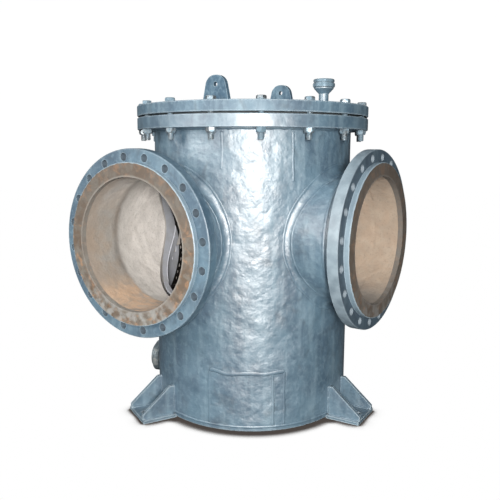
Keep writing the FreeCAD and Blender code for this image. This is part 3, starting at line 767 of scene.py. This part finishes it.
def drain_weld(material):
    """Bead where the drain pipe meets the drum."""
    along = Vector(joint_axis("drain_cap_pull"))
    sideways = Z.cross(along)
    height = middle("drain_seal").z
    count = 90
    points, outward = [], []
    for index in range(count):
        angle = 2 * math.pi * index / count
        across, up = DRAIN_PIPE * math.cos(angle), DRAIN_PIPE * math.sin(angle)
        reach = math.sqrt(DRUM ** 2 - across ** 2)
        points.append(along * reach + sideways * across + Z * (height + up))
        direction = sideways * math.cos(angle) + Z * math.sin(angle) + along
        outward.append(direction.normalized())
    weld("drain_weld", material, [((points, outward), DRAIN_WELD)])


# ---- bolts ------------------------------------------------------------------------

SHARP = math.radians(35)


def bolt_stations(tip, head_low, head_high):
    """Hexagon head over a shank with a ring groove at every pitch, from the tip upwards."""
    flats, shank = BOLT_FLATS, BOLT_SHANK
    pitch, depth, taper, plain = 0.0025, 0.0013, 0.0012, 0.012
    stations = [(tip, shank - 0.0022, 0), (tip + taper, shank - 0.0010, 0)]
    height = tip + taper
    while height + pitch < head_low - plain:
        stations.append((height + pitch * 0.30, shank - depth, 0))
        stations.append((height + pitch * 0.55, shank, 0))
        stations.append((height + pitch * 0.75, shank, 0))
        height += pitch
    stations.append((head_low - 0.008, shank, 0))
    stations.append((head_low, shank, 0))
    stations.append((head_low, flats * 1.02, flats))
    stations.append((head_low + 0.001, flats * 1.2, flats))
    stations.append((head_high - 0.0035, flats * 1.2, flats))
    stations.append((head_high - 0.0012, flats * 1.04, flats))
    stations.append((head_high, flats * 0.90, flats))
    return stations


def cover_bolts(material):
    """One hexagon bolt at every cover hole, each turned a little out of line."""
    low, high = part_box("cover_bolts")
    stations = bolt_stations(low.z, COVER_HIGH, high.z)
    mesh = bmesh.new()
    for index in range(COVER_BOLTS):
        angle = COVER_BOLT_PHASE + 2 * math.pi * index / COVER_BOLTS
        spot = Matrix.Translation(on_drum(angle, 0, COVER_BOLT_CIRCLE))
        spin = Matrix.Rotation(angle + 0.35 * math.sin(index * 2.3), 4, "Z")
        lathe(mesh, stations, 24, spot @ spin, sides=6)
    item = add_piece("cover_bolt_set", mesh, material, "cover", sharp_angle=SHARP)
    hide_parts("cover_bolts")


# ---- vent cap ----------------------------------------------------------------------

def vent_cap(material):
    """Eight-sided cap in two tiers with a groove between, hollow underneath."""
    low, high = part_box("vent_cap")
    bottom, top = low.z, high.z
    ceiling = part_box("vent_seal")[1].z
    groove = top - 0.0125
    lower, upper, hollow, centre = 0.0368, 0.0345, 0.0275, 0.004
    waist = upper - 0.0035
    stations = [
        (ceiling, centre, 0), (ceiling, hollow, 0), (bottom, hollow, 0), (bottom, lower - 0.002, 0),
        (bottom + 0.002, lower * 1.02, lower), (groove - 0.0040, lower * 1.05, lower),
        (groove - 0.0015, lower * 1.01, lower), (groove - 0.0010, waist, 0),
        (groove + 0.0010, waist, 0), (groove + 0.0015, upper * 1.01, upper),
        (groove + 0.0040, upper * 1.06, upper), (top - 0.0030, upper * 1.06, upper),
        (top - 0.0008, upper, upper), (top, upper * 0.93, 0), (top, centre, 0)]
    spot = Matrix.Translation((VENT_X, 0, 0)) @ Matrix.Rotation(math.radians(10), 4, "Z")
    mesh = bmesh.new()
    lathe(mesh, stations, 64, spot, sides=8)
    item = add_piece("vent_screw_cap", mesh, material, "vent_closure", sharp_angle=SHARP)
    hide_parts("vent_cap")


# ---- basket screen --------------------------------------------------------------------

# A cell is a patch of sheet round one hole. Its corners are shares of its width and height.
HOLES_AROUND, HOLE_ROWS, HOLE = 80, 40, 0.0078
CELL_CORNERS = ((1, 0.5), (1, 1), (0.5, 1), (0, 1), (0, 0.5), (0, 0), (0.5, 0), (1, 0))

# Cells this near the side opening are left out, and this near the plain area have no hole.
ENTRY_CLEAR = 0.0186
BLANK_CLEAR = 0.012

# The margin's faces are measured from the sheet's outer face.
MARGIN_WIDTH, MARGIN_STEPS = 0.036, 160
MARGIN_LOW, MARGIN_HIGH = -0.0034, 0.0006


def perforated_screen(material):
    """Rolled sheet with staggered eight-point holes, the side opening and the plain area."""
    low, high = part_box("basket_screen")
    outer, inner = high.x, high.x - SHEET
    row_height = (high.z - low.z) / HOLE_ROWS
    pitch = 2 * math.pi / HOLES_AROUND
    mesh = bmesh.new()
    shared = {}

    def vertex(key, angle, height, radius):
        key = (key, round(radius, 5))
        if key not in shared:
            shared[key] = mesh.verts.new(on_drum(angle, height, radius))
        return shared[key]

    for row in range(HOLE_ROWS):
        for column in range(HOLES_AROUND):
            left = column + (0.5 if row % 2 else 0.0)
            centre_angle = (left + 0.5) * pitch
            centre_height = low.z + (row + 0.5) * row_height
            spot = on_drum(centre_angle, centre_height, outer)
            from_entry = math.hypot(spot.x - INLET_X, spot.z - NOZZLE_Z)
            if spot.y < 0 and from_entry < ENTRY + ENTRY_CLEAR:
                continue
            from_blank = math.hypot(spot.y - BLANK_Y, spot.z - BLANK_Z)
            plain = spot.x < BLANK_LIMIT and from_blank < BLANK_RADIUS + BLANK_CLEAR
            rims = []
            for radius in (outer, inner):
                edge, rim = [], []
                for number, (across, up) in enumerate(CELL_CORNERS):
                    step = round(2 * (left + across)) % (2 * HOLES_AROUND)
                    grid = (step, 2 * row + round(2 * up))
                    angle = (left + across) * pitch
                    height = low.z + (row + up) * row_height
                    edge.append(vertex(grid, angle, height, radius))
                    if plain:
                        continue
                    turn = math.pi / 4 * number
                    rim.append(mesh.verts.new(on_drum(
                        centre_angle + HOLE * math.cos(turn) / outer,
                        centre_height + HOLE * math.sin(turn), radius)))
                if plain:
                    mesh.faces.new(edge)
                else:
                    bridge(mesh, edge, rim)
                rims.append(rim)
            if not plain:
                bridge(mesh, *rims)
    close_border(mesh, (outer + inner) / 2)
    item = add_piece("perforated_screen", mesh, material, "basket", smooth=False)
    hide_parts("basket_screen")


def close_border(mesh, middle_radius):
    """Joins the open edges of the two sheets of the screen across its thickness."""
    partner = {}
    for vert in mesh.verts:
        if vert.is_boundary:
            angle = round(math.atan2(vert.co.y, vert.co.x), 4)
            far = math.hypot(vert.co.x, vert.co.y) > middle_radius
            partner.setdefault((angle, round(vert.co.z, 5)), {})[far] = vert
    match = {pair[True]: pair[False] for pair in partner.values() if len(pair) == 2}
    for edge in [edge for edge in mesh.edges if edge.is_boundary]:
        first, second = edge.verts
        if first in match and second in match:
            mesh.faces.new((first, second, match[second], match[first]))


def screen_margin(material):
    """Plain margin round the side opening, of one width along the rolled sheet."""
    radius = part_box("basket_screen")[1].x
    opening = ENTRY + 0.0005
    rim = []
    for step in range(MARGIN_STEPS):
        angle = 2 * math.pi * step / MARGIN_STEPS
        turn = -math.acos((INLET_X + opening * math.cos(angle)) / radius)
        rim.append((turn * radius, NOZZLE_Z + opening * math.sin(angle)))
    outline = []
    for number, (along, height) in enumerate(rim):
        before, after = rim[number - 1], rim[(number + 1) % MARGIN_STEPS]
        run, climb = after[0] - before[0], after[1] - before[1]
        share = MARGIN_WIDTH / math.hypot(run, climb)
        outline.append((along + climb * share, height - run * share))
    mesh = bmesh.new()
    rings = []
    for line, depth in ((rim, MARGIN_LOW), (outline, MARGIN_LOW), (outline, MARGIN_HIGH),
                        (rim, MARGIN_HIGH)):
        rings.append([mesh.verts.new(on_drum(along / radius, height, radius + depth))
                      for along, height in line])
    for first, second in zip(rings, rings[1:] + rings[:1]):
        bridge(mesh, first, second)
    add_piece("screen_opening_margin", mesh, material, "basket", smooth=False)


# ---- assembly of the looks ----------------------------------------------------------------

def dress(material, *nodes):
    """Gives CAD nodes a material."""
    for name in nodes:
        slots = frame["nodes"][name].data.materials
        slots.clear()
        slots.append(material)


weld_enamel = enamel("enamel_weld", depth=0.25, edge_share=0)
zinc = zinc_material("zinc_fastener")
screen_steel = screen_material()

dress(shell_material(), "body_shell", "inlet_neck", "outlet_neck")
dress(floor_plate_material(), "bottom_plate")
dress(enamel("enamel_plate", depth=0.45), "body_flange", "drain_neck", "basket_rest", "vent_neck")
# The outlet's flange gets more painted shade, a paler rim as painted highlight and paler hole walls as
# painted light than the inlet's.
dress(flange_material("inlet", "x", hole_share=0.1, rim_share=0.0, grime_and_shade=0.16), "inlet_flange")
dress(flange_material("outlet", "y", hole_share=0.34, rim_share=0.50, grime_and_shade=0.60), "outlet_flange")
dress(matt_enamel("enamel_matt"), "front_lifting_lug", "rear_lifting_lug")
# Feet: wide, strong edge lightening, as wear and painted highlight on the gusset edges.
dress(enamel("enamel_foot", depth=0.7, edge_share=0.85, edge_width=0.008),
      "right_foot_plate", "rear_foot_plate", "left_foot_plate",
      "right_foot_gussets", "rear_foot_gussets", "left_foot_gussets")
# The outlet's facing gets painted shade that the inlet's lacks.
dress(facing_material("inlet", "x", grime_and_shade=0.0), "inlet_facing")
dress(facing_material("outlet", "y", grime_and_shade=0.45), "outlet_facing")
dress(cover_material(), "cover_plate")
dress(zinc, "cover_nuts")
dress(rubber_material(), "cover_gasket", "vent_seal", "drain_seal")
dress(cap_steel_material(), "drain_cap")
dress(screen_steel, "basket_bottom")
dress(collar_material(), "basket_rim_ring", "basket_collar", "basket_handle")

flange_welds(weld_enamel)
root_welds(weld_enamel)
seam_welds(weld_enamel)
foot_welds(weld_enamel)
cover_welds(weld_enamel)
drain_weld(weld_enamel)
cover_bolts(zinc)
vent_cap(zinc_material("zinc_overpainted", bare=0.25))
perforated_screen(screen_steel)
screen_margin(screen_steel)


# ---- floor, backdrop, lights and camera ------------------------------------------------------

WHITE = colour(1.0, 1.0, 1.0)
BLACK = colour(0.0, 0.0, 0.0)
CONTACT_SHADE = colour(0.075, 0.064, 0.058)
SKY = colour(0.72, 0.88, 1.0)
SKY_STRENGTH = 0.05
STAGE_RADIUS = 14.0


def stage_object(name, mesh, material):
    """Turns a bmesh into scenery that lights nothing and isn't part of the object."""
    data = bpy.data.meshes.new(name)
    mesh.to_mesh(data)
    mesh.free()
    data.materials.append(material)
    item = bpy.data.objects.new(name, data)
    bpy.context.scene.collection.objects.link(item)
    item.visible_diffuse = False
    item.visible_glossy = False
    item.visible_transmission = False
    return item


def floor_stage():
    """White floor that only darkens where the object nearly touches it."""
    s = Shader("pale_floor")
    contact = s.add("ShaderNodeAmbientOcclusion", Distance=0.055)
    contact.samples = 16
    lit = s.ramp(contact.outputs["AO"], 0.70, 0.975)
    s.surface.inputs["Base Color"].default_value = BLACK
    s.feed(s.surface.inputs["Emission Color"], s.mix(lit, CONTACT_SHADE, WHITE))
    s.surface.inputs["Emission Strength"].default_value = 1.0
    s.surface.inputs["Roughness"].default_value = 0.9
    s.surface.inputs["Specular IOR Level"].default_value = 0.0
    mesh = bmesh.new()
    bmesh.ops.create_circle(mesh, cap_ends=True, segments=96, radius=STAGE_RADIUS)
    stage_object("studio_floor", mesh, s.material)


def backdrop_stage():
    """White globe round everything, which casts no shadow."""
    s = Shader("pale_backdrop")
    s.surface.inputs["Base Color"].default_value = BLACK
    s.surface.inputs["Emission Color"].default_value = WHITE
    s.surface.inputs["Emission Strength"].default_value = 1.0
    mesh = bmesh.new()
    bmesh.ops.create_icosphere(mesh, subdivisions=4, radius=STAGE_RADIUS)
    item = stage_object("studio_backdrop", mesh, s.material)
    item.visible_shadow = False


def area_light(name, azimuth, distance, height, aim_height, size, energy, tint):
    """Soft oblong light; azimuth is measured from the inlet's side towards the outlet's."""
    turn = math.radians(azimuth)
    data = bpy.data.lights.new(name, "AREA")
    data.shape = "RECTANGLE"
    data.size, data.size_y = size
    data.energy = energy
    data.color = tint
    item = bpy.data.objects.new(name, data)
    bpy.context.scene.collection.objects.link(item)
    item.location = (distance * math.sin(turn), -distance * math.cos(turn), height)
    aim = Vector((0, 0, aim_height)) - item.location
    item.rotation_euler = aim.to_track_quat("-Z", "Y").to_euler()
    item.visible_camera = False


def lights():
    """Narrow key, small fill, and broad side, back and top lights in a faint blue surround."""
    area_light("key_light", azimuth=35, distance=3.6, height=1.12, aim_height=0.58,
               size=(0.22, 0.9), energy=143, tint=(1.0, 0.98, 0.95))
    area_light("fill_light", azimuth=32.5, distance=2.4, height=0.97, aim_height=0.60,
               size=(0.15, 0.15), energy=9, tint=(1.0, 0.99, 0.97))
    area_light("side_light", azimuth=-24, distance=3.6, height=2.0, aim_height=0.7,
               size=(1.6, 1.6), energy=66, tint=(1.0, 0.99, 0.97))
    area_light("back_light", azimuth=212, distance=3.6, height=1.8, aim_height=0.6,
               size=(1.6, 1.6), energy=70, tint=(0.9, 0.97, 1.0))
    area_light("top_light", azimuth=20, distance=0.6, height=4.2, aim_height=0.5,
               size=(2.6, 2.6), energy=26, tint=(0.95, 1.0, 1.05))
    world = bpy.data.worlds.new("studio_world")
    world.use_nodes = True
    background = world.node_tree.nodes["Background"]
    background.inputs["Color"].default_value = SKY
    background.inputs["Strength"].default_value = SKY_STRENGTH
    bpy.context.scene.world = world


def camera():
    """Camera between the inlet's and the outlet's sides, looking a little downwards."""
    bearing, distance, height = math.radians(-57.23), 2.3234, 0.959
    aside, down, roll = math.radians(0.2), math.radians(9.3), math.radians(0.21)
    quarter = math.radians(90)
    data = bpy.data.cameras.new("camera")
    data.sensor_width = 36.0
    data.lens = 43.63
    item = bpy.data.objects.new("camera", data)
    bpy.context.scene.collection.objects.link(item)
    item.location = (distance * math.cos(bearing), distance * math.sin(bearing), height)
    look = Matrix.Rotation(quarter + bearing + aside, 4, "Z")
    look = look @ Matrix.Rotation(quarter - down, 4, "X")
    look = look @ Matrix.Rotation(roll, 4, "Z")
    item.rotation_euler = look.to_euler()
    bpy.context.scene.camera = item


floor_stage()
backdrop_stage()
lights()
camera()
bpy.context.scene.view_settings.view_transform = "Standard"
